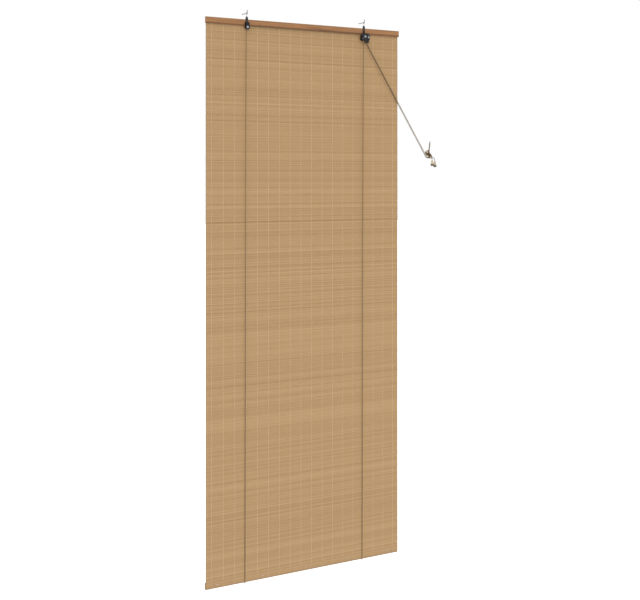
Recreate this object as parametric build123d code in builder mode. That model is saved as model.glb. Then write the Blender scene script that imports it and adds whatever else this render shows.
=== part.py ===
from build123d import *
import math
import os

os.makedirs("parts", exist_ok=True)

# Bamboo roll-up blind, hung from two wall hooks, with its cords made off on a cleat.
# X runs along the width, Y from the room into the wall, Z up. The wall's face is y = 0.
# The origin is midway between the two wall hooks, at the height of their arms.
# A depth is a distance from the wall's face into the room, so y = -depth.

# Blind
blind_width = 900.0
blind_bottom = -2223.5  # lowest edge of the mat, 2200 below the top of the headrail
rail_length = 907.0
rail_height = 25.0
rail_thickness = 5.0
rail_top = -23.5
rail_edge = 1.2
mat_top = -25.0
mat_front = 14.0  # depth of the mat's face on the room side
mat_thickness = 1.5
mat_back = mat_front - mat_thickness
rail_front = mat_front + rail_thickness
batten_height = 25.0
batten_thickness = 8.0
batten_edge = 1.5

# Binding threads woven through the slats, laid on both faces of the mat
thread_count = 18
thread_pitch = 50.0
thread_width = 1.2
thread_thickness = 0.25

# Wall hooks and the links that hang on them
hook_spacing = 550.0
hook_wire = 1.75
hook_reach = 23.5
hook_rise = 13.0
hook_bend = 2.5
hook_thread = 2.0
hook_thread_length = 20.0
hook_thread_tip = 1.4
link_wire = 0.9
link_ring = 3.4
link_gap = 0.1

# Pulley brackets
sheet = 1.0
tab_radius = 5.5
tab_top_z = -18.0
tab_low_z = -30.5
tab_hole = 1.3
neck_width = 11.0
plate_back = rail_front
plate_front = plate_back + sheet
plate_middle = plate_back + sheet / 2
wheel_offset = 0.5  # wheel axle, right of its hook
wheel_z = -58.0
left_wheel_z = -54.0
wheel_half = 2.2
wheel_gap = 0.6
wheel_pitch = 6.2  # radius of the cord's centreline on the wheel
wheel_flange = 7.1
wheel_groove = 4.9
axle_radius = 3.0
axle_bore = 2.0
axle_head = 4.6
head_thickness = 1.1
shaft_clearance = 0.05
back_wheel_depth = plate_front + wheel_gap + wheel_half
front_wheel_depth = back_wheel_depth + 2 * wheel_half + wheel_gap
left_cheek_depth = back_wheel_depth + wheel_half + wheel_gap
right_cheek_depth = front_wheel_depth + wheel_half + wheel_gap
left_cheek_radius = 9.8
bridge_width = 17.0
bridge_z = -34.5
screw_z = tab_low_z + 0.5
screw_shank = 1.4
screw_length = 4.6
screw_head = 3.2

# Cord lock in the right bracket
roller_radius = 5.0
roller_offset = 13.0  # locked place, right of the hook
lock_travel = 4.0
lock_pin = 1.8
lock_head = 3.2
lock_head_gap = 0.4
slot_clearance = 0.15
guide_offset = 11.0
guide_z = -80.0
guide_radius = 3.0
guide_head = 4.4
spacer_radius = 2.2
spacer_head = 3.2
spacer_places = [(-12.0, -66.0), (17.5, -51.9)]

# Cords, cleat and tassels
cord = 1.25  # radius
cleat_x = 615.0
cleat_z = -543.5
cleat_lean = 38.3  # degrees from upright, top leaning to the left
cleat_half = 23.0
cleat_width = 9.0
cleat_screw_spacing = 12.0
cleat_screw_shank = 1.8
cleat_screw_thread = 2.2
cleat_screw_head = 3.4
cleat_screw_length = 28.0
cleat_top = 15.0
tassel_height = 26.0
tassel_radius = 7.0
tassel_hole = 1.3
tassel_counterbore = 3.4
knot_radius = 2.5
left_tassel_place = (625.5, 24.0, -566.0)  # x, depth and top
right_tassel_place = (645.5, 17.0, -571.0)

left_x = -hook_spacing / 2
right_x = hook_spacing / 2
rail_bottom = rail_top - rail_height


def turned(x, z, outline):
    # A solid turned about a level axis that points into the wall; outline is (radius, depth).
    with BuildPart() as piece:
        with BuildSketch(Plane.XY.offset(z)):
            with BuildLine():
                Polyline([(x + r, -depth) for r, depth in outline], close=True)
            make_face()
        revolve(axis=Axis((x, 0, z), (0, 1, 0)))
    return piece


def rivet(x, z, shank, head, back, front, bore=0.0):
    # A rivet from one plate's back to another's front, with a chamfered head on each side.
    rim = head_thickness / 3
    outline = [
        (bore, back - head_thickness),
        (head - rim, back - head_thickness),
        (head, back - head_thickness + rim),
        (head, back),
        (shank, back),
        (shank, front),
        (head, front),
        (head, front + head_thickness - rim),
        (head - rim, front + head_thickness),
        (bore, front + head_thickness),
    ]
    return turned(x, z, outline)


def wheel(x, z, depth):
    bore = axle_radius + shaft_clearance
    rim = 0.3
    lip = 0.9
    floor = 1.3
    outline = [
        (bore, depth - wheel_half),
        (wheel_flange - rim, depth - wheel_half),
        (wheel_flange, depth - wheel_half + rim),
        (wheel_flange, depth - wheel_half + lip - rim),
        (wheel_groove, depth - floor + rim),
        (wheel_groove, depth + floor - rim),
        (wheel_flange, depth + wheel_half - lip + rim),
        (wheel_flange, depth + wheel_half - rim),
        (wheel_flange - rim, depth + wheel_half),
        (bore, depth + wheel_half),
    ]
    return turned(x, z, outline)


def hanging_tab(x):
    # The tongue of a bracket, drawn on the plate's own plane.
    tab_length = tab_top_z - tab_low_z
    with Locations((x, (tab_top_z + tab_low_z) / 2)):
        SlotCenterToCenter(tab_length, 2 * tab_radius, rotation=90)
    with Locations((x, (tab_low_z + wheel_z) / 2)):
        Rectangle(neck_width, tab_low_z - wheel_z)


def right_cheek(x):
    # The outline that both plates of the right bracket share.
    with Locations((x + 2.25, -60.4)):
        RectangleRounded(38.5, 29.5, 6.0)
    with Locations((x + guide_offset, -75.5)):
        RectangleRounded(12.0, 20.0, 5.9)


def right_holes(x):
    # The holes that both plates of the right bracket share.
    with Locations((x + wheel_offset, wheel_z)):
        Circle(axle_radius, mode=Mode.SUBTRACT)
    with Locations((x + guide_offset, guide_z)):
        Circle(guide_radius, mode=Mode.SUBTRACT)
    with Locations([(x + u, z) for u, z in spacer_places]):
        Circle(spacer_radius, mode=Mode.SUBTRACT)
    slide = lock_travel / math.sqrt(2) / 2
    with Locations((x + roller_offset + slide, wheel_z - slide)):
        SlotCenterToCenter(
            lock_travel + 2 * slot_clearance,
            2 * (lock_pin + slot_clearance),
            rotation=-45,
            mode=Mode.SUBTRACT,
        )


def cord_tube(name, route, radii):
    # A round cord along straight runs and tangent arcs, one radius for each corner.
    with BuildPart() as tube:
        with BuildLine() as path:
            FilletPolyline(*route, radius=radii)
        with BuildSketch(Plane(origin=path.line @ 0, z_dir=path.line % 0)):
            Circle(cord)
        sweep()
    length = path.wires()[0].length
    share = tube.part.volume / (math.pi * cord**2 * length)
    print(name, "length", round(length, 1), "volume share", round(share, 4), "radii", radii)
    tube.part.label = name
    export_step(tube.part, f"parts/{name}.step")


# Headrail: a stained wooden strip with a pilot hole for each bracket's screw.
with BuildPart() as headrail:
    with BuildSketch(Plane.XZ.offset(mat_front)):
        with Locations((0, rail_top - rail_height / 2)):
            Rectangle(rail_length, rail_height)
    extrude(amount=rail_thickness)
    fillet(headrail.edges().filter_by(Axis.X), rail_edge)
    with BuildSketch(Plane.XZ.offset(rail_front)):
        with Locations((left_x, screw_z), (right_x, screw_z)):
            Circle(screw_shank)
    extrude(amount=-screw_length, mode=Mode.SUBTRACT)
headrail.part.label = "headrail"
export_step(headrail.part, "parts/headrail.step")

# Mat of bamboo slats: the woven sheet as one plain slab.
with BuildPart() as slat_mat:
    with BuildSketch(Plane.XZ.offset(mat_back)):
        with Locations((0, (mat_top + blind_bottom) / 2)):
            Rectangle(blind_width, mat_top - blind_bottom)
    extrude(amount=mat_thickness)
slat_mat.part.label = "slat_mat"
export_step(slat_mat.part, "parts/slat_mat.step")

# Binding threads, on the front below the headrail and on the back above the batten.
front_thread_top = rail_bottom - 1.0
front_thread_low = blind_bottom + 2.0
back_thread_low = blind_bottom + batten_height + 1.0
with BuildPart() as binding_threads:
    with BuildSketch(Plane.XZ.offset(mat_front)):
        with Locations((0, (front_thread_top + front_thread_low) / 2)):
            with GridLocations(thread_pitch, 0, thread_count, 1):
                Rectangle(thread_width, front_thread_top - front_thread_low)
    extrude(amount=thread_thickness)
    with BuildSketch(Plane.XZ.offset(mat_back)):
        with Locations((0, (mat_top + back_thread_low) / 2)):
            with GridLocations(thread_pitch, 0, thread_count, 1):
                Rectangle(thread_width, mat_top - back_thread_low)
    extrude(amount=-thread_thickness)
binding_threads.part.label = "binding_threads"
export_step(binding_threads.part, "parts/binding_threads.step")

# Bottom batten, behind the mat's lower edge.
with BuildPart() as bottom_batten:
    with BuildSketch(Plane.XZ.offset(mat_back)):
        with Locations((0, blind_bottom + batten_height / 2)):
            Rectangle(blind_width, batten_height)
    extrude(amount=-batten_thickness)
    rear_edges = bottom_batten.edges().filter_by(Axis.X).group_by(Axis.Y)[-1]
    fillet(rear_edges, batten_edge)
bottom_batten.part.label = "bottom_batten"
export_step(bottom_batten.part, "parts/bottom_batten.step")

# Staples. A crown lies on the surface and two legs go into the wood.
staple_wire = 0.6
staple_places = [-400.0, -200.0, 0.0, 200.0, 400.0]
staple_half = 5.0
rail_staple_z = -36.0
rail_leg = 4.5
with BuildPart() as headrail_staples:
    with BuildSketch(Plane.XZ.offset(mat_back)):
        with Locations([(x, rail_staple_z) for x in staple_places]):
            Rectangle(2 * staple_half, 2 * staple_wire)
    extrude(amount=-staple_wire)
    with BuildSketch(Plane.XZ.offset(mat_back)):
        with Locations([(x, rail_staple_z) for x in staple_places]):
            with GridLocations(2 * (staple_half - staple_wire), 0, 2, 1):
                Rectangle(2 * staple_wire, 2 * staple_wire)
    extrude(amount=rail_leg)
headrail_staples.part.label = "headrail_staples"
export_step(headrail_staples.part, "parts/headrail_staples.step")

batten_staple_z = blind_bottom + batten_height / 2
batten_leg = 7.0
with BuildPart() as batten_staples:
    with BuildSketch(Plane.XZ.offset(mat_front)):
        with Locations([(x, batten_staple_z) for x in staple_places]):
            Rectangle(2 * staple_half, 2 * staple_wire)
    extrude(amount=staple_wire)
    with BuildSketch(Plane.XZ.offset(mat_front)):
        with Locations([(x, batten_staple_z) for x in staple_places]):
            with GridLocations(2 * (staple_half - staple_wire), 0, 2, 1):
                Rectangle(2 * staple_wire, 2 * staple_wire)
    extrude(amount=-batten_leg)
batten_staples.part.label = "batten_staples"
export_step(batten_staples.part, "parts/batten_staples.step")

# Cord staples hold each lift cord's end to the back of the headrail.
left_cord_x = left_x + wheel_offset - wheel_pitch
right_cord_x = right_x + wheel_offset - wheel_pitch
cord_staple_half = 2.4
cord_staple_depth = 9.9
with BuildPart() as cord_staples:
    with BuildSketch(Plane.XZ.offset(cord_staple_depth)):
        with Locations((left_cord_x, rail_staple_z), (right_cord_x, rail_staple_z)):
            Rectangle(2 * cord_staple_half, 2 * staple_wire)
    extrude(amount=-staple_wire)
    with BuildSketch(Plane.XZ.offset(cord_staple_depth)):
        with Locations((left_cord_x, rail_staple_z), (right_cord_x, rail_staple_z)):
            with GridLocations(2 * cord_staple_half - staple_wire, 0, 2, 1):
                Rectangle(staple_wire, 2 * staple_wire)
    extrude(amount=mat_back + rail_leg - cord_staple_depth)
cord_staples.part.label = "cord_staples"
export_step(cord_staples.part, "parts/cord_staples.step")

# Wall hooks: a straight screw hook, its end turned up, threaded into the wall.
for side, x in (("left", left_x), ("right", right_x)):
    with BuildPart() as wall_hook:
        with BuildLine() as bend:
            FilletPolyline(
                (x, 0, 0),
                (x, -hook_reach, 0),
                (x, -hook_reach, hook_rise),
                radius=hook_bend,
            )
        with BuildSketch(Plane(origin=bend.line @ 0, z_dir=bend.line % 0)):
            Circle(hook_wire)
        sweep()
        top_edge = wall_hook.edges().filter_by(GeomType.CIRCLE).sort_by(Axis.Z)[-1]
        fillet(top_edge, hook_wire / 2)
        with BuildSketch(Plane.XZ):
            with Locations((x, 0)):
                Circle(hook_thread)
        extrude(amount=-hook_thread_length)
        chamfer(wall_hook.edges().sort_by(Axis.Y)[-1], hook_thread_tip)
    wall_hook.part.label = f"{side}_wall_hook"
    export_step(wall_hook.part, f"parts/{side}_wall_hook.step")

    # Link: one wire piece with a ring at each end, a quarter turn apart.
    top_ring_z = hook_wire - (link_ring - link_wire) + link_gap
    low_ring_z = tab_top_z + tab_hole - link_wire - link_gap + link_ring
    shank_top = top_ring_z - link_ring
    shank_low = low_ring_z + link_ring
    with BuildPart() as link:
        with Locations((x, -plate_middle, top_ring_z)):
            Torus(link_ring, link_wire, rotation=(90, 0, 0))
        with Locations((x, -plate_middle, low_ring_z)):
            Torus(link_ring, link_wire, rotation=(0, 90, 0))
        with Locations((x, -plate_middle, (shank_top + shank_low) / 2)):
            Cylinder(link_wire, shank_top - shank_low)
    link.part.label = f"{side}_link"
    export_step(link.part, f"parts/{side}_link.step")

    # Round-headed screw that holds the bracket to the headrail, with a cross recess.
    screw_body = turned(
        x,
        screw_z,
        [
            (0.0, rail_front - screw_length),
            (screw_shank / 2, rail_front - screw_length),
            (screw_shank, rail_front - screw_length + screw_shank),
            (screw_shank, plate_front),
            (screw_head, plate_front),
            (screw_head, plate_front + 0.8),
            (screw_head - 0.9, plate_front + 1.7),
            (0.0, plate_front + 2.0),
        ],
    )
    with BuildPart() as bracket_screw:
        add(screw_body.part)
        with BuildSketch(Plane.XZ.offset(plate_front + 2.0)):
            with Locations((x, screw_z)):
                Rectangle(3.4, 0.7)
                Rectangle(0.7, 3.4)
        extrude(amount=-1.0, mode=Mode.SUBTRACT)
    bracket_screw.part.label = f"{side}_bracket_screw"
    export_step(bracket_screw.part, f"parts/{side}_bracket_screw.step")

# Left bracket: one folded plate, with a tab, a back cheek, a bridge and a front cheek.
left_axle_x = left_x + wheel_offset
with BuildPart() as left_bracket:
    with BuildSketch(Plane.XZ.offset(plate_back)):
        hanging_tab(left_x)
        with Locations((left_axle_x, (bridge_z + left_wheel_z) / 2)):
            Rectangle(bridge_width, bridge_z - left_wheel_z)
        with Locations((left_axle_x, left_wheel_z)):
            Circle(left_cheek_radius)
            Circle(axle_radius, mode=Mode.SUBTRACT)
        with Locations((left_x, tab_top_z)):
            Circle(tab_hole, mode=Mode.SUBTRACT)
        with Locations((left_x, screw_z)):
            Circle(screw_shank, mode=Mode.SUBTRACT)
    extrude(amount=sheet)
    with BuildSketch(Plane.XZ.offset(plate_back)):
        with Locations((left_axle_x, bridge_z - sheet / 2)):
            Rectangle(bridge_width, sheet)
    extrude(amount=left_cheek_depth + sheet - plate_back)
    with BuildSketch(Plane.XZ.offset(left_cheek_depth)):
        with Locations((left_axle_x, (bridge_z + left_wheel_z) / 2)):
            Rectangle(bridge_width, bridge_z - left_wheel_z)
        with Locations((left_axle_x, left_wheel_z)):
            Circle(left_cheek_radius)
            Circle(axle_radius, mode=Mode.SUBTRACT)
    extrude(amount=sheet)
    fold = left_bracket.edges().filter_by(Axis.X).group_by(Axis.Y)[0].sort_by(Axis.Z)[-1]
    fillet(fold, 0.9)
left_bracket.part.label = "left_bracket"
export_step(left_bracket.part, "parts/left_bracket.step")

left_axle = rivet(
    left_axle_x,
    left_wheel_z,
    axle_radius,
    axle_head,
    plate_back,
    left_cheek_depth + sheet,
    axle_bore,
)
left_axle.part.label = "left_axle"
export_step(left_axle.part, "parts/left_axle.step")

left_wheel = wheel(left_axle_x, left_wheel_z, back_wheel_depth)
left_wheel.part.label = "left_wheel"
export_step(left_wheel.part, "parts/left_wheel.step")

# Right bracket: two plates riveted together round two wheels and the cord lock.
right_axle_x = right_x + wheel_offset
right_front = right_cheek_depth + sheet
with BuildPart() as right_back_plate:
    with BuildSketch(Plane.XZ.offset(plate_back)):
        hanging_tab(right_x)
        right_cheek(right_x)
        right_holes(right_x)
        with Locations((right_x, tab_top_z)):
            Circle(tab_hole, mode=Mode.SUBTRACT)
        with Locations((right_x, screw_z)):
            Circle(screw_shank, mode=Mode.SUBTRACT)
    extrude(amount=sheet)
right_back_plate.part.label = "right_back_plate"
export_step(right_back_plate.part, "parts/right_back_plate.step")

with BuildPart() as right_front_plate:
    with BuildSketch(Plane.XZ.offset(right_cheek_depth)):
        right_cheek(right_x)
        right_holes(right_x)
    extrude(amount=sheet)
right_front_plate.part.label = "right_front_plate"
export_step(right_front_plate.part, "parts/right_front_plate.step")

right_axle = rivet(
    right_axle_x, wheel_z, axle_radius, axle_head, plate_back, right_front, axle_bore
)
right_axle.part.label = "right_axle"
export_step(right_axle.part, "parts/right_axle.step")

guide_rivet = rivet(
    right_x + guide_offset, guide_z, guide_radius, guide_head, plate_back, right_front
)
guide_rivet.part.label = "guide_rivet"
export_step(guide_rivet.part, "parts/guide_rivet.step")

with BuildPart() as spacer_rivets:
    for u, z in spacer_places:
        spacer = rivet(
            right_x + u, z, spacer_radius, spacer_head, plate_back, right_front
        )
        add(spacer.part)
spacer_rivets.part.label = "spacer_rivets"
export_step(spacer_rivets.part, "parts/spacer_rivets.step")

for name, depth in (
    ("right_back_wheel", back_wheel_depth),
    ("right_front_wheel", front_wheel_depth),
):
    right_wheel = wheel(right_axle_x, wheel_z, depth)
    right_wheel.part.label = name
    export_step(right_wheel.part, f"parts/{name}.step")

# Cord lock, at rest at the lower end of its slots.
lock_step = lock_travel / math.sqrt(2)
lock_x = right_x + roller_offset + lock_step
lock_z = wheel_z - lock_step
lock_axle = rivet(
    lock_x,
    lock_z,
    lock_pin,
    lock_head,
    plate_back - lock_head_gap,
    right_front + lock_head_gap,
)
lock_axle.part.label = "lock_pin"
export_step(lock_axle.part, "parts/lock_pin.step")

roller_back = plate_front + wheel_gap
roller_front = right_cheek_depth - wheel_gap
ridge_count = 20
ridge_groove = 0.35
with BuildPart() as lock_roller:
    with BuildSketch(Plane.XZ.offset(roller_back)):
        with Locations((lock_x, lock_z)):
            Circle(roller_radius)
            Circle(lock_pin + shaft_clearance, mode=Mode.SUBTRACT)
            with PolarLocations(roller_radius, ridge_count):
                Circle(ridge_groove, mode=Mode.SUBTRACT)
    extrude(amount=roller_front - roller_back)
lock_roller.part.label = "lock_roller"
export_step(lock_roller.part, "parts/lock_roller.step")

# Wall cleat: a base pad, a waist and two horns. Its own x runs up along the horns.
lean = math.radians(cleat_lean)
along = Vector(-math.sin(lean), 0, math.cos(lean))
across = Vector(math.cos(lean), 0, math.sin(lean))
cleat_centre = Vector(cleat_x, 0, cleat_z)
cleat_side = Plane(origin=cleat_centre, x_dir=along, z_dir=across)
cleat_face = Plane(origin=cleat_centre, x_dir=along, z_dir=(0, -1, 0))
half_outline = [
    (13, 0),
    (13, 2.5),
    (9.5, 4.5),
    (9.5, 9.0),
    (13, 11.0),
    (cleat_half - 2, 12.8),
    (cleat_half, 14.8),
    (cleat_half - 1.5, 16.8),
    (15, cleat_top + 0.4),
]
far_outline = [(-u, depth) for u, depth in reversed(half_outline)]
cleat_outline = half_outline + [(0, cleat_top)] + far_outline
with BuildPart() as cleat:
    with BuildSketch(cleat_side):
        with BuildLine():
            Polyline(cleat_outline, close=True)
        make_face()
    extrude(amount=cleat_width / 2 + 1, both=True)
    with BuildSketch(cleat_face):
        Ellipse(cleat_half + 1, cleat_width / 2)
        RectangleRounded(30, cleat_width, 4.4)
    extrude(amount=30, mode=Mode.INTERSECT)
    with BuildSketch(cleat_face):
        with GridLocations(cleat_screw_spacing, 0, 2, 1):
            Circle(cleat_screw_shank)
    extrude(amount=30, mode=Mode.SUBTRACT)
    countersink = cleat_screw_head - cleat_screw_shank
    with BuildSketch(cleat_face.offset(cleat_top - 0.6)):
        with GridLocations(cleat_screw_spacing, 0, 2, 1):
            Circle(cleat_screw_head)
    extrude(amount=-countersink, taper=45, mode=Mode.SUBTRACT)
    with BuildSketch(cleat_face.offset(cleat_top - 0.6)):
        with GridLocations(cleat_screw_spacing, 0, 2, 1):
            Circle(cleat_screw_head)
    extrude(amount=5, mode=Mode.SUBTRACT)
cleat.part.label = "cleat"
export_step(cleat.part, "parts/cleat.step")

# Countersunk screws that hold the cleat to the wall.
seat = cleat_top - 0.6
with BuildPart() as cleat_screws:
    for end in (-1, 1):
        place = cleat_centre + along * (end * cleat_screw_spacing / 2)
        wall_screw = turned(
            place.X,
            place.Z,
            [
                (0, seat - cleat_screw_length),
                (cleat_screw_thread - 1.6, seat - cleat_screw_length),
                (cleat_screw_thread, seat - cleat_screw_length + 3),
                (cleat_screw_thread, 0),
                (cleat_screw_shank, 0),
                (cleat_screw_shank, seat - countersink),
                (cleat_screw_head, seat),
                (0, seat),
            ],
        )
        add(wall_screw.part)
cleat_screws.part.label = "cleat_screws"
export_step(cleat_screws.part, "parts/cleat_screws.step")

# The turns of both cords round the cleat, as one plain solid of their outer shape.
winding_start = 5.0
winding_front = 21.0
with BuildPart() as cord_winding:
    with BuildSketch(cleat_face.offset(winding_start)):
        RectangleRounded(42, 20, 9)
    extrude(amount=winding_front - winding_start)
    fillet(cord_winding.edges().group_by(Axis.Y)[0], 3)
    add(cleat.part, mode=Mode.SUBTRACT)
    add(cleat_screws.part, mode=Mode.SUBTRACT)
cord_winding.part.label = "cord_winding"
export_step(cord_winding.part, "parts/cord_winding.step")

# Lift cords. Each starts at its staple, runs down behind the mat, round the bottom
# edge, up the front, over its wheels, past the lock and the guide, and to the cleat.
bottom_bend = 1.9
wrap = wheel_pitch - 0.05
guide_bend = guide_radius + cord + 0.3
horn_bend = 4.0
left_route = [
    (-280.7, -11.2, -29.0),
    (-280.7, -2.9, -2224.0),
    (-280.7, -4.3, -2225.3),
    (-280.7, -14.4, -2225.3),
    (-280.7, -15.8, -2224.0),
    (-280.7, -22.8, -51.43),
    (-277.07, -22.8, -47.8),
    (278.07, -27.8, -51.8),
    (281.7, -27.8, -55.43),
    (281.7, -27.8, -81.34),
    (604.0, -16.5, -556.5),
    (616.5, -12.0, -555.5),
]
left_radii = [
    bottom_bend,
    bottom_bend,
    bottom_bend,
    bottom_bend,
    wrap,
    wrap,
    wrap,
    wrap,
    guide_bend,
    horn_bend,
]
right_route = [
    (269.3, -11.2, -29.0),
    (269.3, -2.9, -2224.0),
    (269.3, -4.3, -2225.3),
    (269.3, -14.4, -2225.3),
    (269.3, -15.8, -2224.0),
    (269.3, -22.8, -54.42),
    (275.5, -22.8, -50.84),
    (281.7, -22.8, -54.42),
    (281.7, -22.8, -81.34),
    (602.5, -12.5, -558.5),
    (617.0, -9.5, -557.5),
]
right_radii = [
    bottom_bend,
    bottom_bend,
    bottom_bend,
    bottom_bend,
    wrap,
    wrap,
    wrap,
    guide_bend,
    horn_bend,
]
cord_tube("left_lift_cord", left_route, left_radii)
cord_tube("right_lift_cord", right_route, right_radii)

# A bight of the left cord, tucked under the turns and standing against the wall.
bight_route = [
    (613.5, -14.0, -530.5),
    (626.8, -4.5, -486.6),
    (630.2, -4.5, -487.7),
    (616.9, -14.0, -531.6),
]
cord_tube("left_cord_bight", bight_route, [1.7, 1.7])

# Tails from the turns to the tassels.
left_tail = [
    (620.0, -19.0, -550.5),
    (624.5, -23.2, -556.0),
    (625.5, -24.0, -562.5),
    (625.5, -24.0, -586.0),
]
right_tail = [
    (623.0, -18.0, -550.5),
    (632.5, -22.0, -557.0),
    (641.5, -20.4, -561.5),
    (645.5, -17.0, -569.0),
    (645.5, -17.0, -591.0),
]
cord_tube("left_cord_tail", left_tail, [6.0, 6.0])
cord_tube("right_cord_tail", right_tail, [6.0, 6.0, 6.0])

# Tassels: turned wooden bells, each with a hole for the cord and a recess for its knot.
for side, place in (("left", left_tassel_place), ("right", right_tassel_place)):
    x, depth, top = place
    low = top - tassel_height
    recess = low + 8.5
    with BuildPart() as tassel:
        with BuildSketch(Plane.XZ.offset(depth)):
            with BuildLine():
                Polyline(
                    (x + tassel_hole, top),
                    (x + 2.6, top),
                    (x + 3.4, top - 1.2),
                    (x + 3.4, top - 3.0),
                )
                Spline(
                    (x + 3.4, top - 3.0),
                    (x + 5.4, top - 10.0),
                    (x + tassel_radius, low + 5.0),
                    tangents=[(0.2, -1), (0.15, -1)],
                )
                Polyline(
                    (x + tassel_radius, low + 5.0),
                    (x + tassel_radius, low + 1.0),
                    (x + tassel_radius - 1.0, low),
                    (x + tassel_counterbore, low),
                    (x + tassel_counterbore, recess),
                    (x + tassel_hole, recess),
                    (x + tassel_hole, top),
                )
            make_face()
        revolve(axis=Axis((x, -depth, 0), (0, 0, 1)))
    tassel.part.label = f"{side}_cord_tassel"
    export_step(tassel.part, f"parts/{side}_cord_tassel.step")

    with BuildPart() as knot:
        with Locations((x, -depth, recess - knot_radius - 0.2)):
            Sphere(knot_radius)
    knot.part.label = f"{side}_cord_knot"
    export_step(knot.part, f"parts/{side}_cord_knot.step")
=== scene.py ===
import bpy
import bmesh
import math
import numpy as np
from mathutils import Matrix, Vector


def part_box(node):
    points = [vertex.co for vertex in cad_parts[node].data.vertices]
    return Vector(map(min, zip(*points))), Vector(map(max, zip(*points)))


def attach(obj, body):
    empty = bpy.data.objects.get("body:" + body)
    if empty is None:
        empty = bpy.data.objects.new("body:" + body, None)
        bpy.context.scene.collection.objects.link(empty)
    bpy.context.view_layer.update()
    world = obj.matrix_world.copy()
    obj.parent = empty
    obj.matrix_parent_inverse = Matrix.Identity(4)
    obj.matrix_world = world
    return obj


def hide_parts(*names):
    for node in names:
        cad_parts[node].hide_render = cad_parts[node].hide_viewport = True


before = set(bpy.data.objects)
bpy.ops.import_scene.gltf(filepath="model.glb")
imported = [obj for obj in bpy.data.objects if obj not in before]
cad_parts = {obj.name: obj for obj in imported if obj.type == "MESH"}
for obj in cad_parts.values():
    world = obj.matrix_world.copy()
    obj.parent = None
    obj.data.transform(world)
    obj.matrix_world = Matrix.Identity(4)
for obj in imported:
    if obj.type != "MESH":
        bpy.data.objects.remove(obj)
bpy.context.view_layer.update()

print("blind: frame loaded")

# Camera

cameraPlace = {
    "position": (-2.5106, -4.1749, -0.6345),
    "turn": 31.78,      # degrees from +Y towards +X
    "lens": 67.81,
    "shift": (-0.0008, -0.1941),
}

cameraData = bpy.data.cameras.new("camera")
cameraData.lens = cameraPlace["lens"]
cameraData.sensor_width = 36
cameraData.shift_x, cameraData.shift_y = cameraPlace["shift"]
cameraData.clip_end = 100
camera = bpy.data.objects.new("camera", cameraData)
camera.location = cameraPlace["position"]
camera.rotation_euler = (math.radians(90), 0, -math.radians(cameraPlace["turn"]))
bpy.context.collection.objects.link(camera)
bpy.context.scene.camera = camera
print("blind: camera placed")


# Node helpers

def newMaterial(name, color, roughness, metallic=0.0):
    material = bpy.data.materials.new(name)
    material.use_nodes = True
    nodes = material.node_tree.nodes
    shader = nodes["Principled BSDF"]
    shader.inputs["Base Color"].default_value = (*color, 1)
    shader.inputs["Roughness"].default_value = roughness
    shader.inputs["Metallic"].default_value = metallic
    return material, nodes, material.node_tree.links, shader


def addMath(nodes, links, operation, first, second=None, third=None):
    node = nodes.new("ShaderNodeMath")
    node.operation = operation
    for socket, value in zip(node.inputs, (first, second, third)):
        if value is None:
            continue
        if isinstance(value, (int, float)):
            socket.default_value = value
        else:
            links.new(value, socket)
    return node.outputs[0]


def addEdge(nodes, links, value, place, sharp):
    # 0 on one side of a place and 1 on the other, with a short blend; a negative sharp turns it round
    edge = addMath(nodes, links, "MULTIPLY_ADD", value, sharp, 0.5 - sharp * place)
    edge.node.use_clamp = True
    return edge


def addRamp(nodes, links, factor, stops):
    ramp = nodes.new("ShaderNodeValToRGB")
    elements = ramp.color_ramp.elements
    while len(elements) < len(stops):
        elements.new(0.5)
    for element, (place, color) in zip(elements, stops):
        element.position = place
        element.color = (*color, 1)
    links.new(factor, ramp.inputs["Fac"])
    return ramp.outputs["Color"]


def addNoise(nodes, links, vector, scale, detail=4, rough=0.55, distort=0.0):
    noise = nodes.new("ShaderNodeTexNoise")
    noise.inputs["Scale"].default_value = scale
    noise.inputs["Detail"].default_value = detail
    noise.inputs["Roughness"].default_value = rough
    noise.inputs["Distortion"].default_value = distort
    links.new(vector, noise.inputs["Vector"])
    return noise.outputs["Fac"]


def addMapping(nodes, links, vector, scale):
    mapping = nodes.new("ShaderNodeMapping")
    mapping.inputs["Scale"].default_value = scale
    links.new(vector, mapping.inputs["Vector"])
    return mapping.outputs["Vector"]


def addBump(nodes, links, shader, height, strength, distance):
    bump = nodes.new("ShaderNodeBump")
    bump.inputs["Strength"].default_value = strength
    bump.inputs["Distance"].default_value = distance
    links.new(height, bump.inputs["Height"])
    links.new(bump.outputs["Normal"], shader.inputs["Normal"])


def addMix(nodes, links, factor, first, second, blend="MIX"):
    mix = nodes.new("ShaderNodeMix")
    mix.data_type = "RGBA"
    mix.blend_type = blend
    if isinstance(factor, (int, float)):
        mix.inputs[0].default_value = factor
    else:
        links.new(factor, mix.inputs[0])
    for socket, value in ((mix.inputs[6], first), (mix.inputs[7], second)):
        if isinstance(value, tuple):
            socket.default_value = (*value, 1)
        else:
            links.new(value, socket)
    return mix.outputs[2]


def objectPlace(nodes):
    return nodes.new("ShaderNodeTexCoord").outputs["Object"]


def splitVector(nodes, links, vector):
    split = nodes.new("ShaderNodeSeparateXYZ")
    links.new(vector, split.inputs[0])
    return split.outputs


def addStretchedNoise(nodes, links, vector, scale, *settings):
    return addNoise(nodes, links, addMapping(nodes, links, vector, scale), 1.0, *settings)


def shadeOf(color, share):
    return tuple(c * share for c in color)


def madeOf(kind, made):
    return [item for item in made["geom"] if isinstance(item, kind)]


def dress(names, material):
    for name in names:
        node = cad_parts[name]
        if not node.material_slots:
            node.data.materials.append(material)
        for holder in node.material_slots:
            holder.material = material


def addPiece(name, mesh, material, body="blind"):
    mesh.materials.clear()
    mesh.materials.append(material)
    piece = bpy.data.objects.new(name, mesh)
    bpy.context.collection.objects.link(piece)
    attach(piece, body)
    return piece


# Cords

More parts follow.
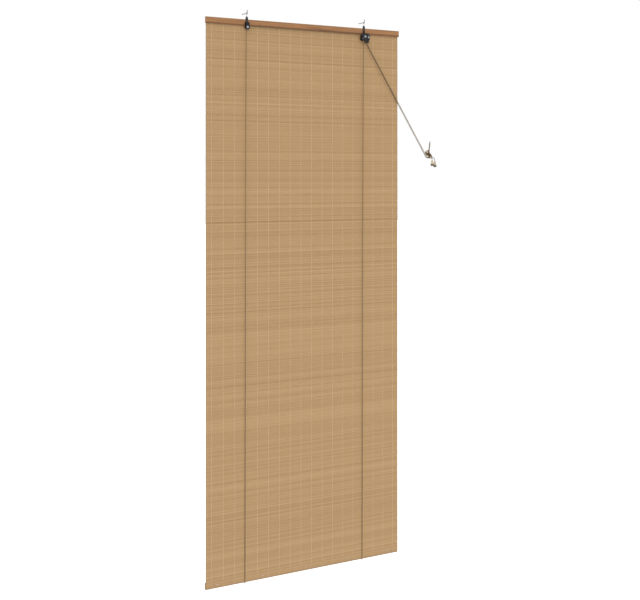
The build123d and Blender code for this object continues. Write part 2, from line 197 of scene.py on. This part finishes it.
cordLook = {
    "radius": 0.00125,
    "sides": 8,
    "color": (0.170, 0.112, 0.056),
    "shade": (0.105, 0.066, 0.032),
    "repeat": 0.0024,   # length of one braid diamond
    "carriers": 3,
    "shadeFromX": 0.604,  # past this x and below this z the cord gets painted shade, for the winding's turns shading one another
    "shadeBelowZ": -0.530,
    "shadeSharp": 250.0,
    "paintedShade": (0.60, 0.46, 0.31),
}


def makeCordMaterial():
    material, nodes, links, shader = newMaterial("brownCord", cordLook["color"], 0.75)
    place = nodes.new("ShaderNodeAttribute")
    place.attribute_name = "cordPlace"
    split = splitVector(nodes, links, place.outputs["Vector"])
    angle = addMath(nodes, links, "ARCTAN2", split["Z"], split["Y"])
    turns = addMath(nodes, links, "MULTIPLY", angle, cordLook["carriers"])
    run = addMath(nodes, links, "MULTIPLY", split["X"], math.tau / cordLook["repeat"])
    over = addMath(nodes, links, "SINE", addMath(nodes, links, "ADD", run, turns))
    under = addMath(nodes, links, "SINE", addMath(nodes, links, "SUBTRACT", run, turns))
    braid = addMath(nodes, links, "MAXIMUM", over, under)
    level = addMath(nodes, links, "MULTIPLY_ADD", braid, 0.5, 0.5)
    fibre = addNoise(nodes, links, objectPlace(nodes), 900, 3, 0.6)
    # Painted shade in the braid's grooves: the darker colour where no strand is raised
    weave = addRamp(nodes, links, level, [(0.15, cordLook["shade"]), (0.85, cordLook["color"])])
    fleck = addRamp(nodes, links, fibre, [(0.3, (0.72, 0.72, 0.72)), (0.7, (1.2, 1.2, 1.2))])
    shade = addMix(nodes, links, 1.0, weave, fleck, "MULTIPLY")
    where = splitVector(nodes, links, objectPlace(nodes))
    # Painted shade on the winding and the cord ends by the cleat: the darker colour stands in for the
    # turns' shading and occlusion
    past = addEdge(nodes, links, where["X"], cordLook["shadeFromX"], cordLook["shadeSharp"])
    below = addEdge(nodes, links, where["Z"], cordLook["shadeBelowZ"], -cordLook["shadeSharp"])
    shadedPart = addMath(nodes, links, "MULTIPLY", past, below)
    paintedShade = addMix(nodes, links, 1.0, shade, cordLook["paintedShade"], "MULTIPLY")
    links.new(addMix(nodes, links, shadedPart, shade, paintedShade), shader.inputs["Base Color"])
    addBump(nodes, links, shader, level, 0.8, 0.00025)
    shader.inputs["Specular IOR Level"].default_value = 0.2
    return material


cordMaterial = makeCordMaterial()

cleatPlace = {
    "centre": Vector((0.615, 0, -0.5435)),
    "lean": math.radians(38.3),
}
cleatAlong = Vector((-math.sin(cleatPlace["lean"]), 0, math.cos(cleatPlace["lean"])))
cleatAcross = Vector((math.cos(cleatPlace["lean"]), 0, math.sin(cleatPlace["lean"])))

winding = {
    "turns": 5.85,      # ends where a turn runs straight down over the front
    "steps": 20,        # points in a turn
    "start": math.radians(-45),
}


def windTurns(turn):
    # Figure-of-eight turns: under the lower horn first, then across the waist to the upper one
    points = []
    for step in range(round(winding["steps"] * winding["turns"]) + 1):
        s = step / winding["steps"]
        phase = winding["start"] - math.tau * s
        end = turn["end"] + turn["endStep"] * s
        side = turn["side"] + turn["sideStep"] * s
        low = turn["low"] + turn["lowStep"] * s
        high = turn["high"] + turn["highStep"] * s
        u = end * math.sin(phase) + (turn["cross"] + turn["crossStep"] * s) * math.cos(phase) ** 2
        v = side * math.sin(2 * phase)
        depth = low + (high - low) * math.cos(phase) ** 2
        points.append(cleatPlace["centre"] + cleatAlong * u + cleatAcross * v - Vector((0, depth, 0)))
    return points


def cordCurve(name, points):
    curve = bpy.data.curves.new(name, "CURVE")
    curve.dimensions = "3D"
    curve.resolution_u = 12
    spline = curve.splines.new("NURBS")
    spline.points.add(len(points) - 1)
    for point, place in zip(spline.points, points):
        point.co = (*place, 1)
    spline.order_u = 3
    spline.use_endpoint_u = True
    return bpy.data.objects.new(name, curve)


def makeCord(name, points, radius=cordLook["radius"]):
    # A mesh tube along the smooth spline, with its length and its turn kept for the braid
    holder = cordCurve(name + "Line", points)
    bpy.context.collection.objects.link(holder)
    bpy.context.view_layer.update()
    lineMesh = bpy.data.meshes.new_from_object(holder)
    line = [vertex.co.copy() for vertex in lineMesh.vertices]
    holder.data.bevel_depth = radius
    holder.data.bevel_resolution = cordLook["sides"] // 2 - 2
    holder.data.use_fill_caps = True
    bpy.context.view_layer.update()
    graph = bpy.context.evaluated_depsgraph_get()
    mesh = bpy.data.meshes.new_from_object(holder.evaluated_get(graph))
    mesh.name = name
    runs = [0.0]
    for first, second in zip(line, line[1:]):
        runs.append(runs[-1] + (second - first).length)
    ring = len(mesh.vertices) // len(line)
    place = mesh.attributes.new("cordPlace", "FLOAT_VECTOR", "POINT")
    for index in range(len(mesh.vertices)):
        run = runs[min(index // ring, len(runs) - 1)]
        turn = math.tau * (index % ring) / ring
        place.data[index].vector = (run, math.cos(turn), math.sin(turn))
    mesh.shade_smooth()
    bpy.data.objects.remove(holder)
    print("cord", name, "length", round(runs[-1], 4), "ring", ring, "points", len(line))
    return addPiece(name, mesh, cordMaterial), line, runs[-1]


leftRoute = [
    (-0.2807, -0.0112, -0.0290),
    (-0.2807, -0.0029, -2.2240),
    (-0.2807, -0.0043, -2.2253),
    (-0.2807, -0.0144, -2.2253),
    (-0.2807, -0.0158, -2.2240),
    (-0.2807, -0.0228, -0.0514),
    (-0.2771, -0.0228, -0.0478),
    (0.2781, -0.0278, -0.0518),
    (0.2817, -0.0278, -0.0554),
    (0.2817, -0.0278, -0.0693),
    (0.2812, -0.0278, -0.0832),
    (0.2890, -0.0275, -0.0932),
    (0.5974, -0.0167, -0.5466),
    (0.6040, -0.0165, -0.5565),
]
leftTail = [
    (0.6200, -0.0215, -0.5505),
    (0.6245, -0.0232, -0.5560),
    (0.6255, -0.0240, -0.5625),
    (0.6255, -0.0240, -0.5860),
]
rightRoute = [
    (0.2693, -0.0112, -0.0290),
    (0.2693, -0.0029, -2.2240),
    (0.2693, -0.0043, -2.2253),
    (0.2693, -0.0144, -2.2253),
    (0.2693, -0.0158, -2.2240),
    (0.2693, -0.0228, -0.0544),
    (0.2755, -0.0228, -0.0508),
    (0.2817, -0.0228, -0.0544),
    (0.2817, -0.0228, -0.0693),
    (0.2812, -0.0228, -0.0832),
    (0.2890, -0.0225, -0.0932),
    (0.5959, -0.0128, -0.5486),
    (0.6025, -0.0125, -0.5585),
    (0.6080, -0.0110, -0.5580),
]
rightTail = [
    (0.6230, -0.0225, -0.5505),
    (0.6325, -0.0220, -0.5570),
    (0.6415, -0.0204, -0.5615),
    (0.6455, -0.0170, -0.5690),
    (0.6455, -0.0170, -0.5910),
]
leftTurns = {
    "end": 0.0118, "endStep": 0.0012,
    "side": 0.0062, "sideStep": 0.0002,
    "low": 0.0064, "lowStep": 0.0004,
    "high": 0.0172, "highStep": 0.0005,
    "cross": -0.0062, "crossStep": 0.0020,
}
rightTurns = {
    "end": 0.0112, "endStep": 0.0012,
    "side": 0.0082, "sideStep": 0.0002,
    "low": 0.0064, "lowStep": 0.0004,
    "high": 0.0176, "highStep": 0.0005,
    "cross": -0.0052, "crossStep": 0.0020,
}
bightRoute = [
    (0.6135, -0.0140, -0.5305),
    (0.6268, -0.0045, -0.4866),
    (0.6302, -0.0045, -0.4877),
    (0.6169, -0.0140, -0.5316),
]

leftPoints = leftRoute + windTurns(leftTurns) + leftTail
rightPoints = rightRoute + windTurns(rightTurns) + rightTail
leftCord, leftLine, leftLength = makeCord("leftLiftCord", leftPoints)
rightCord, rightLine, rightLength = makeCord("rightLiftCord", rightPoints)
bight, bightLine, bightLength = makeCord("cordBight", bightRoute)


# Knots at the cords' ends, inside the tassels

knotShape = {
    "radius": 0.0009,
    "reach": 0.00100,
    "steps": 24,
}


def makeKnot(name, node):
    low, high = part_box(node)
    centre = (Vector(low) + Vector(high)) / 2
    points = []
    for step in range(knotShape["steps"] + 1):
        t = math.tau * step / knotShape["steps"]
        x = knotShape["reach"] * (math.sin(t) + 2 * math.sin(2 * t)) / 2
        y = knotShape["reach"] * (math.cos(t) - 2 * math.cos(2 * t)) / 2
        z = -knotShape["reach"] * math.sin(3 * t)
        points.append(centre + Vector((x, y, z)))
    knot = makeCord(name, points, knotShape["radius"])[0]
    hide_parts(node)
    return knot


leftKnot = makeKnot("leftKnot", "left_cord_knot")
rightKnot = makeKnot("rightKnot", "right_cord_knot")

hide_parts("left_lift_cord", "left_cord_tail", "cord_winding")
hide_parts("right_lift_cord", "right_cord_tail")
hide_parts("left_cord_bight")
print("blind: cords made")


# Mat of split bamboo

mat = {
    "left": -0.450,
    "right": 0.450,
    "top": -0.025,
    "bottom": -2.2235,
    "count": 1072,
    "middle": -0.01325,     # y of the mat's middle plane
    "thick": 0.00062,       # half the thickness of a splint
    "cover": 0.54,          # half its height, as a share of the pitch
    "pieces": 8,            # lengths along a splint
    "color": (0.372, 0.233, 0.107),
    "dark": (0.265, 0.156, 0.065),
    "light": (0.458, 0.304, 0.153),
    "edge": (0.200, 0.140, 0.085),
    "edgeWide": 0.0022,     # width of the darker band at the left and right ends
    "edgeSharp": 600.0,
    "knuckles": 3.4,        # marks in a metre of splint
    "knuckleColor": (0.62, 0.55, 0.45),
    "seed": 7,
}
matPitch = (mat["top"] - mat["bottom"]) / mat["count"]


def makeMatMaterial():
    material, nodes, links, shader = newMaterial("splitBamboo", mat["color"], 0.62)
    tone = nodes.new("ShaderNodeAttribute")
    tone.attribute_name = "splintTone"
    split = splitVector(nodes, links, tone.outputs["Vector"])
    place = splitVector(nodes, links, objectPlace(nodes))
    # Each splint reads its own stretch of grain
    shift = addMath(nodes, links, "MULTIPLY", split["Y"], 37.0)
    along = addMath(nodes, links, "MULTIPLY_ADD", place["X"], 1.0, shift)
    own = nodes.new("ShaderNodeCombineXYZ")
    links.new(along, own.inputs["X"])
    links.new(place["Y"], own.inputs["Y"])
    links.new(place["Z"], own.inputs["Z"])
    streak = addStretchedNoise(nodes, links, own.outputs[0], (9, 1400, 1400), 5, 0.62)
    patch = addStretchedNoise(nodes, links, own.outputs[0], (22, 0.1, 0.1), 2, 0.6)
    level = addMath(nodes, links, "ADD", split["X"], addMath(nodes, links, "MULTIPLY", streak, 0.5))
    level = addMath(nodes, links, "ADD", level, addMath(nodes, links, "MULTIPLY", patch, 0.45))
    level = addMath(nodes, links, "SUBTRACT", level, 0.475)
    stops = [(0.0, mat["dark"]), (0.5, mat["color"]), (1.0, mat["light"])]
    shade = addRamp(nodes, links, level, stops)
    knuckle = addMath(nodes, links, "FRACT", addMath(nodes, links, "MULTIPLY", along, mat["knuckles"]))
    mark = addRamp(nodes, links, knuckle, [(0.0, mat["knuckleColor"]), (0.012, (1.0, 1.0, 1.0))])
    shade = addMix(nodes, links, 0.55, shade, mark, "MULTIPLY")
    across = addMath(nodes, links, "ABSOLUTE", place["X"])
    inside = addMath(nodes, links, "SUBTRACT", across, mat["right"] - mat["edgeWide"])
    endBand = addMath(nodes, links, "MULTIPLY", inside, mat["edgeSharp"])
    endBand.node.use_clamp = True
    links.new(addMix(nodes, links, endBand, shade, mat["edge"]), shader.inputs["Base Color"])
    addBump(nodes, links, shader, streak, 0.35, 0.0003)
    return material


def makeMat():
    bm = bmesh.new()
    ring = bmesh.ops.create_circle(bm, cap_ends=True, segments=6, radius=1)
    half = matPitch * mat["cover"]
    shape = Matrix.Translation((mat["left"], mat["middle"], mat["top"] - matPitch / 2))
    shape = shape @ Matrix.Diagonal((1, mat["thick"], half, 1))
    shape = shape @ Matrix.Rotation(math.radians(90), 4, "Y")
    shape = shape @ Matrix.Rotation(math.radians(30), 4, "Z")
    length = (mat["right"] - mat["left"]) / mat["pieces"]
    bmesh.ops.transform(bm, matrix=shape, verts=ring["verts"])
    cap = bm.faces[:]
    for piece in range(mat["pieces"]):
        grown = bmesh.ops.extrude_face_region(bm, geom=cap)
        if piece > 0:   # the first cap closes the splint's end, and later ones would be walls inside it
            bmesh.ops.delete(bm, geom=cap, context="FACES_ONLY")
        cap = madeOf(bmesh.types.BMFace, grown)
        bmesh.ops.translate(bm, verts=madeOf(bmesh.types.BMVert, grown), vec=(length, 0, 0))
    bmesh.ops.recalc_face_normals(bm, faces=bm.faces[:])
    # One splint, then twice as many each time
    made = 1
    while made < mat["count"]:
        more = min(made, mat["count"] - made)
        share = len(bm.verts) // made
        bm.verts.ensure_lookup_table()
        chosen = set(bm.verts[: share * more])
        faces = [f for f in bm.faces if f.verts[0] in chosen]
        copy = bmesh.ops.duplicate(bm, geom=faces)
        bmesh.ops.translate(bm, verts=madeOf(bmesh.types.BMVert, copy), vec=(0, 0, -matPitch * made))
        made += more
    mesh = bpy.data.meshes.new("slatMat")
    bm.to_mesh(mesh)
    bm.free()
    return mesh


splint = {
    "height": (0.94, 1.06),
    "thickness": (0.78, 1.12),
    "lift": 0.00008,        # out of the mat's plane
    "bend": 0.00006,
    "trim": (-0.0006, 0.0004),
    "tone": (0.5, 0.13),
    "darkShare": 0.06,      # splints that are darker than the rest
    "darkStep": 0.22,
    "footCount": 2,         # the lowest splints, darker
    "footStep": 0.5,
}


def varySplints(mesh):
    # Each splint gets its own thickness, wobble and tone
    random = np.random.default_rng(mat["seed"])
    count = len(mesh.vertices)
    places = np.empty(count * 3)
    mesh.vertices.foreach_get("co", places)
    places = places.reshape(-1, 3)
    number = np.floor((mat["top"] - places[:, 2]) / matPitch).astype(int).clip(0, mat["count"] - 1)
    centre = mat["top"] - (number + 0.5) * matPitch
    wide = random.uniform(*splint["height"], mat["count"])[number]
    deep = random.uniform(*splint["thickness"], mat["count"])[number]
    wave = random.uniform(0, math.tau, (2, mat["count"]))[:, number]
    lift = random.uniform(-splint["lift"], splint["lift"], mat["count"])[number]
    places[:, 1] = mat["middle"] + (places[:, 1] - mat["middle"]) * deep + lift
    places[:, 1] += splint["bend"] * np.sin(places[:, 0] * 23 + wave[0])
    rise = splint["bend"] * np.sin(places[:, 0] * 14 + wave[1])
    places[:, 2] = centre + (places[:, 2] - centre) * wide + rise
    trim = random.uniform(*splint["trim"], (2, mat["count"]))
    places[:, 0] += np.where(places[:, 0] > mat["right"] - 0.001, trim[0][number], 0)
    places[:, 0] -= np.where(places[:, 0] < mat["left"] + 0.001, trim[1][number], 0)
    mesh.vertices.foreach_set("co", places.ravel())
    tone = random.normal(*splint["tone"], mat["count"]).clip(0.05, 0.95)
    darker = random.random(mat["count"]) < splint["darkShare"]
    tone[darker] -= splint["darkStep"]
    tone[-splint["footCount"]:] -= splint["footStep"]
    spread = np.zeros((count, 3))
    spread[:, 0] = tone[number]
    spread[:, 1] = random.random(mat["count"])[number]
    store = mesh.attributes.new("splintTone", "FLOAT_VECTOR", "POINT")
    store.data.foreach_set("vector", spread.ravel())
    mesh.update()


matMaterial = makeMatMaterial()
matMesh = makeMat()
varySplints(matMesh)
slatMat = addPiece("slatMat", matMesh, matMaterial)
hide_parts("slat_mat")
print("blind: mat woven,", len(matMesh.polygons), "faces")


# Binding threads

thread = {
    "count": 18,
    "pitch": 0.050,
    "wide": 0.00072,
    "deep": 0.00030,
    "swing": 0.00088,       # how far a thread goes in front of and behind the mat's middle
    "hidden": 0.00040,      # the same under the headrail and over the batten
    "railFoot": -0.0495,    # height where the headrail stops covering the threads
    "battenRise": 0.0265,   # height of the batten above the mat's foot
    "stagger": 0.00030,     # how far the front and back threads stand apart along the mat
    "apart": 10,            # the two sides are made this far apart, then brought together
    "color": (0.540, 0.395, 0.240),
}


def makeThreadMaterial():
    material, nodes, links, shader = newMaterial("cottonThread", thread["color"], 0.85)
    twist = addStretchedNoise(nodes, links, objectPlace(nodes), (2500, 2500, 1100), 3, 0.6)
    stops = [(0.3, shadeOf(thread["color"], 0.75)), (0.7, shadeOf(thread["color"], 1.22))]
    links.new(addRamp(nodes, links, twist, stops), shader.inputs["Base Color"])
    addBump(nodes, links, shader, twist, 0.5, 0.0002)
    shader.inputs["Sheen Weight"].default_value = 0.3
    return material


def makeThreads(name, columns):
    bm = bmesh.new()
    ring = bmesh.ops.create_circle(bm, cap_ends=False, segments=4, radius=1)
    shape = Matrix.Translation((0, 0, mat["top"] - matPitch / 2))
    shape = shape @ Matrix.Diagonal((thread["wide"], thread["deep"], 1, 1))
    bmesh.ops.transform(bm, matrix=shape, verts=ring["verts"])
    edges = bm.edges[:]
    for _ in range(mat["count"] - 1):
        grown = bmesh.ops.extrude_edge_only(bm, edges=edges)
        edges = madeOf(bmesh.types.BMEdge, grown)
        bmesh.ops.translate(bm, verts=madeOf(bmesh.types.BMVert, grown), vec=(0, 0, -matPitch))
    bmesh.ops.holes_fill(bm, edges=bm.edges[:], sides=4)
    bmesh.ops.recalc_face_normals(bm, faces=bm.faces[:])
    single = bm.faces[:]
    for column in columns:
        x = (column - (thread["count"] - 1) / 2) * thread["pitch"]
        for side in (-1, 1):
            copy = bmesh.ops.duplicate(bm, geom=single)
            move = (x + side * thread["stagger"], side * thread["apart"], 0)
            bmesh.ops.translate(bm, verts=madeOf(bmesh.types.BMVert, copy), vec=move)
    bmesh.ops.delete(bm, geom=single, context="FACES")
    mesh = bpy.data.meshes.new(name)
    bm.to_mesh(mesh)
    bm.free()
    places = np.empty(len(mesh.vertices) * 3)
    mesh.vertices.foreach_get("co", places)
    places = places.reshape(-1, 3)
    side = np.sign(places[:, 1])
    number = np.round((mat["top"] - places[:, 2]) / matPitch - 0.5).astype(int)
    covered = (places[:, 2] > thread["railFoot"]) | (places[:, 2] < mat["bottom"] + thread["battenRise"])
    swing = np.where(covered, thread["hidden"], thread["swing"])
    over = np.where(number % 2, 1, -1)
    places[:, 1] += -thread["apart"] * side + mat["middle"] + swing * side * over
    mesh.vertices.foreach_set("co", places.ravel())
    mesh.shade_smooth()
    mesh.update()
    return mesh


threadMaterial = makeThreadMaterial()
leftMesh = makeThreads("leftThreads", range(0, 9))
rightMesh = makeThreads("rightThreads", range(9, 18))
leftThreads = addPiece("leftThreads", leftMesh, threadMaterial)
rightThreads = addPiece("rightThreads", rightMesh, threadMaterial)
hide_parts("binding_threads")
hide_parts("binding_threads")
print("blind: threads woven,", len(leftThreads.data.polygons), "faces a side")


# Wood

woodLook = {
    "color": (0.291, 0.134, 0.044),
    "dark": (0.174, 0.072, 0.021),
    "edge": -0.0425,    # the headrail's lower edge below this height gets painted shade, for the shadow along the rail's underside
    "noEdge": -3,       # below the whole blind, so the batten gets no painted shade band and is of one shade
    "edgeSharp": 600.0,
    "paintedShade": (0.57, 0.49, 0.34),
}


def makeStainedWood(name, edge):
    color = woodLook["color"]
    material, nodes, links, shader = newMaterial(name, color, 0.45)
    place = objectPlace(nodes)
    grain = addStretchedNoise(nodes, links, place, (5, 160, 160), 6, 0.6, 0.6)
    pores = addStretchedNoise(nodes, links, place, (60, 1600, 1600), 3, 0.6)
    stops = [(0.30, woodLook["dark"]), (0.55, color), (0.80, shadeOf(color, 1.25))]
    shade = addRamp(nodes, links, grain, stops)
    fleck = addRamp(nodes, links, pores, [(0.35, (0.7, 0.66, 0.62)), (0.50, (1.0, 1.0, 1.0))])
    shade = addMix(nodes, links, 0.7, shade, fleck, "MULTIPLY")
    # Painted shade below the edge height, standing in for the shadow on the rail's lower edge
    height = splitVector(nodes, links, place)["Z"]
    above = addEdge(nodes, links, height, edge, woodLook["edgeSharp"])
    paintedShade = addMix(nodes, links, 1.0, shade, woodLook["paintedShade"], "MULTIPLY")
    links.new(addMix(nodes, links, above, paintedShade, shade), shader.inputs["Base Color"])
    gloss = addMath(nodes, links, "MULTIPLY_ADD", pores, -0.2, 0.55)
    links.new(gloss, shader.inputs["Roughness"])
    addBump(nodes, links, shader, pores, 0.25, 0.0002)
    return material


dress(["headrail"], makeStainedWood("stainedPine", woodLook["edge"]))
dress(["bottom_batten"], makeStainedWood("battenPine", woodLook["noEdge"]))

tasselLook = {
    "color": (0.440, 0.360, 0.250),
    "dark": (0.050, 0.030, 0.018),
    "band": 0.0080,     # height of the dark band above the tassel's foot
    "bandSharp": 1500.0,
}


def makeTasselMaterial(name, foot):
    material, nodes, links, shader = newMaterial(name, tasselLook["color"], 0.4)
    place = objectPlace(nodes)
    grain = addStretchedNoise(nodes, links, place, (900, 900, 90), 5, 0.6)
    pale = addRamp(nodes, links, grain, [
        (0.3, shadeOf(tasselLook["color"], 0.78)),
        (0.7, shadeOf(tasselLook["color"], 1.12)),
    ])
    # A darker colour for a band above the foot
    darkBand = addRamp(nodes, links, grain, [
        (0.3, shadeOf(tasselLook["dark"], 0.6)),
        (0.7, shadeOf(tasselLook["dark"], 1.5)),
    ])
    height = splitVector(nodes, links, place)["Z"]
    edge = addEdge(nodes, links, height, foot + tasselLook["band"], tasselLook["bandSharp"])
    links.new(addMix(nodes, links, edge, darkBand, pale), shader.inputs["Base Color"])
    addBump(nodes, links, shader, grain, 0.2, 0.0002)
    shader.inputs["Coat Weight"].default_value = 0.3
    shader.inputs["Coat Roughness"].default_value = 0.25
    return material


for side in ("left", "right"):
    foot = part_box(side + "_cord_tassel")[0][2]
    dress([side + "_cord_tassel"], makeTasselMaterial(side + "TasselWood", foot))
print("blind: wood finished")


# Metal and plastic

metals = {
    "zincPlate": {
        "color": (0.30, 0.30, 0.31), "roughness": 0.32, "wear": 0.15,
        "nodes": ["left_wall_hook", "right_wall_hook", "left_link", "right_link", "cleat_screws"],
    },
    "bronzedScrew": {
        "color": (0.13, 0.11, 0.07), "roughness": 0.38, "wear": 0.2,
        "nodes": ["left_bracket_screw", "right_bracket_screw"],
    },
    "stapleWire": {
        "color": (0.55, 0.55, 0.53), "roughness": 0.38, "wear": 0.15,
        "nodes": ["headrail_staples", "batten_staples", "cord_staples"],
    },
    "nickelRivet": {
        "color": (0.50, 0.50, 0.52), "roughness": 0.25, "wear": 0.12,
        "nodes": ["left_axle", "right_axle", "lock_pin"],
    },
    "darkSteel": {
        "color": (0.10, 0.10, 0.11), "roughness": 0.35, "wear": 0.25,
        "nodes": ["left_wheel", "right_back_wheel", "right_front_wheel", "lock_roller", "spacer_rivets"],
    },
    "blackPaint": {
        "color": (0.008, 0.008, 0.009), "roughness": 0.25, "wear": 0.35,
        "metallic": 0.0, "specular": 0.28,
        "nodes": ["left_bracket", "right_back_plate", "right_front_plate", "guide_rivet"],
    },
}


def makeMetal(name, look):
    color = look["color"]
    metallic = look.get("metallic", 1.0)
    material, nodes, links, shader = newMaterial(name, color, look["roughness"], metallic)
    place = objectPlace(nodes)
    cloud = addNoise(nodes, links, place, 180, 4, 0.6)
    scratch = addStretchedNoise(nodes, links, place, (300, 300, 2500), 3, 0.6)
    stops = [(0.3, shadeOf(color, 1 - look["wear"])), (0.7, shadeOf(color, 1 + look["wear"]))]
    links.new(addRamp(nodes, links, cloud, stops), shader.inputs["Base Color"])
    gloss = addMath(nodes, links, "MULTIPLY_ADD", scratch, 0.25, look["roughness"] - 0.12)
    links.new(gloss, shader.inputs["Roughness"])
    addBump(nodes, links, shader, scratch, 0.12, 0.0001)
    shader.inputs["Specular IOR Level"].default_value = look.get("specular", 0.5)
    return material


for name, look in metals.items():
    dress(look["nodes"], makeMetal(name, look))

cleatLook = {
    "color": (0.50, 0.45, 0.35),
    "dark": (0.46, 0.41, 0.31),
    "light": (0.53, 0.48, 0.38),
}


def makeCleatMaterial():
    material, nodes, links, shader = newMaterial("ivoryPlastic", cleatLook["color"], 0.38)
    place = objectPlace(nodes)
    cloud = addNoise(nodes, links, place, 90, 4, 0.55)
    fine = addNoise(nodes, links, place, 2600, 2, 0.5)
    shade = addRamp(nodes, links, cloud, [(0.3, cleatLook["dark"]), (0.7, cleatLook["light"])])
    links.new(shade, shader.inputs["Base Color"])
    addBump(nodes, links, shader, fine, 0.12, 0.0001)
    return material


dress(["cleat"], makeCleatMaterial())
print("blind: metal and plastic finished")


# Floor, surroundings and light

room = {
    "floor": -2.62,
    "reach": 40,
    "floorColor": (0.92, 0.92, 0.92),
    "floorGlow": 0.25,
    "sky": 1.0,
    "keyStrength": 1.15,
    "keyAngle": 45,     # degrees of softness
    "keyTurn": (52, 0, -42),
}

floorMesh = bpy.data.meshes.new("floor")
bm = bmesh.new()
bmesh.ops.create_grid(bm, x_segments=2, y_segments=2, size=room["reach"])
bmesh.ops.translate(bm, verts=bm.verts[:], vec=(0, 0, room["floor"]))
bm.to_mesh(floorMesh)
bm.free()
floorMaterial, *_, shader = newMaterial("paleFloor", room["floorColor"], 0.9)
shader.inputs["Emission Color"].default_value = (1, 1, 1, 1)
shader.inputs["Emission Strength"].default_value = room["floorGlow"]
floorMesh.materials.append(floorMaterial)
floor = bpy.data.objects.new("floor", floorMesh)
bpy.context.collection.objects.link(floor)

world = bpy.data.worlds.new("studio")
world.use_nodes = True
sky = world.node_tree.nodes["Background"]
sky.inputs["Color"].default_value = (1, 1, 1, 1)
sky.inputs["Strength"].default_value = room["sky"]
bpy.context.scene.world = world

keyData = bpy.data.lights.new("keyLight", "SUN")
keyData.energy = room["keyStrength"]
keyData.angle = math.radians(room["keyAngle"])
keyLight = bpy.data.objects.new("keyLight", keyData)
keyLight.rotation_euler = [math.radians(turn) for turn in room["keyTurn"]]
bpy.context.collection.objects.link(keyLight)
bpy.context.scene.view_settings.view_transform = "Standard"
print("blind: floor and light placed")
